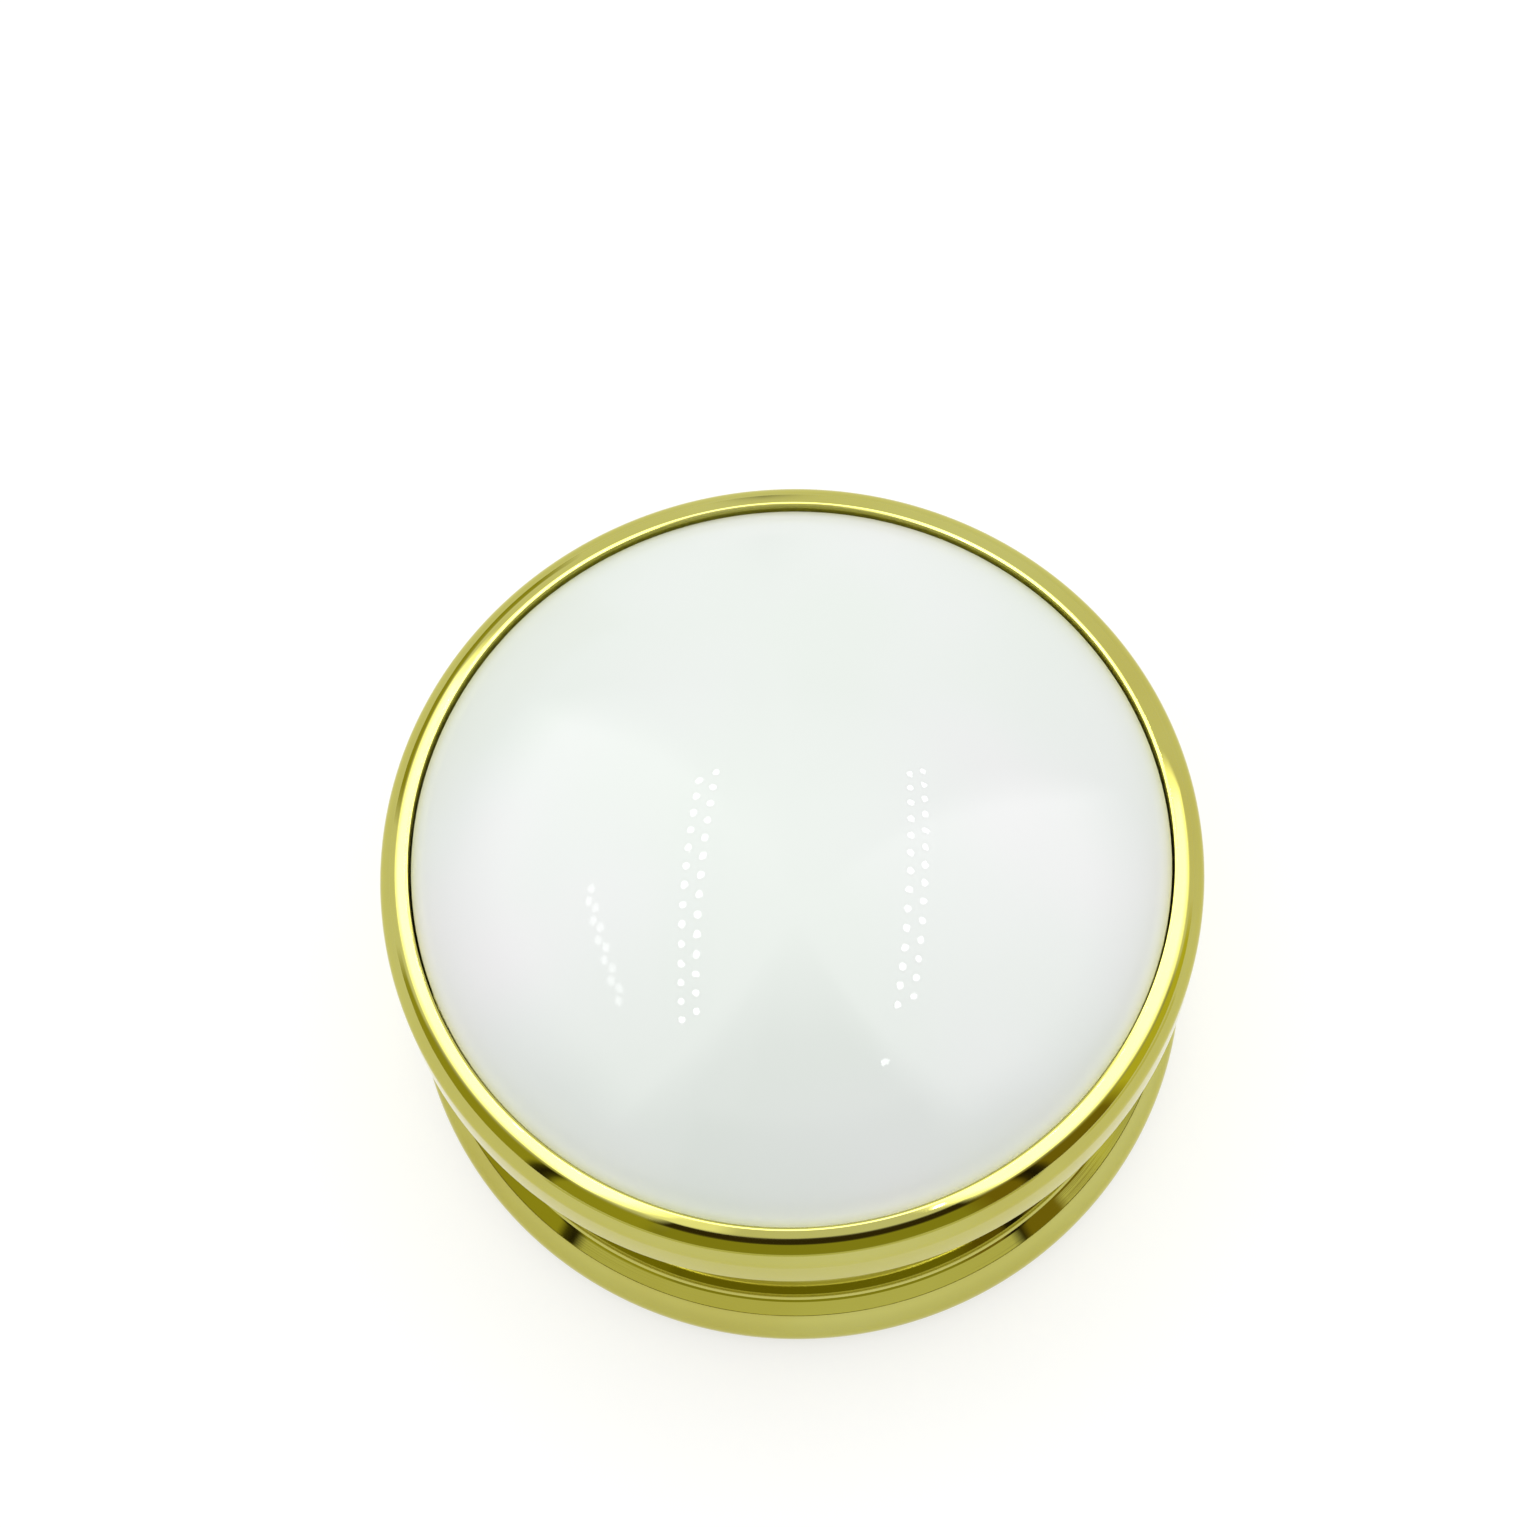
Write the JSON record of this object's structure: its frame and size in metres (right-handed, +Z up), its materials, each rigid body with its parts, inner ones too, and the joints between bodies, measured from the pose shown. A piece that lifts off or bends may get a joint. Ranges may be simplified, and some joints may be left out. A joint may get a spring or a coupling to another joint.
{
  "type": "cream jar",
  "caption": "Low round cosmetic cream jar with a glossy white domed lid in a polished gold ring, a gold waist and a rolled gold foot; the lid unscrews.",
  "frame": {"origin": "centre of the jar on the plane it stands on", "axes": "+Z up along the jar's axis; the jar is round, so +X and +Y are free"},
  "size_m": [0.06, 0.06, 0.0366],
  "materials": {
    "gold": "mirror-polished lemon gold plating",
    "white_dome": "polished opal white",
    "collar_plastic": "moulded white, thread faces smooth",
    "cup_plastic": "moulded satin white",
    "seal_plastic": "moulded frosted white",
    "base_plastic": "moulded matt gold-coloured plastic",
    "foot_rubber": "matt, slightly textured",
    "soft_ring": "smooth silicone",
    "foam": "closed-cell foam",
    "liner_foam": "closed-cell foam with a smooth skin",
    "tape": "double-sided tape",
    "steel": "stamped disc, zinc plated"
  },
  "bodies": {
    "jar": {"foot_flange": "gold", "waist_shell": "gold", "neck_collar": "collar_plastic", "neck_o_ring": "soft_ring", "inner_cup": "cup_plastic", "weight_pad": "foam", "base_weight": "steel", "base_plate": "base_plastic", "foot_ring": "foot_rubber"},
    "liner": {"lid_liner": "liner_foam"},
    "lid": {"lid_bezel": "gold", "dome_insert": "white_dome", "dome_seat_ring": "foam", "lid_inner_cap": "collar_plastic", "lid_weight": "steel", "lid_weight_tape": "tape"},
    "seal": {"sealing_disc": "seal_plastic"}
  },
  "joints": [
    {"name": "lid_lift", "type": "slide", "parent": "jar", "child": "liner", "axis": [0, 0, 1], "range_m": [0, 0.0136]},
    {"name": "lid_turn", "type": "hinge", "parent": "liner", "child": "lid", "pos_m": [0, 0, 0.021], "axis": [0, 0, 1], "range_deg": [0, 540]},
    {"name": "seal_lift", "type": "slide", "parent": "jar", "child": "seal", "axis": [0, 0, 1], "range_m": [0, 0.0061]}
  ],
  "couplings": [
    {"joint": "lid_lift", "follows": "lid_turn", "m_per_rad": 0.0014324},
    {"joint": "seal_lift", "follows": "lid_turn", "m_per_rad": 0.00063662}
  ]
}
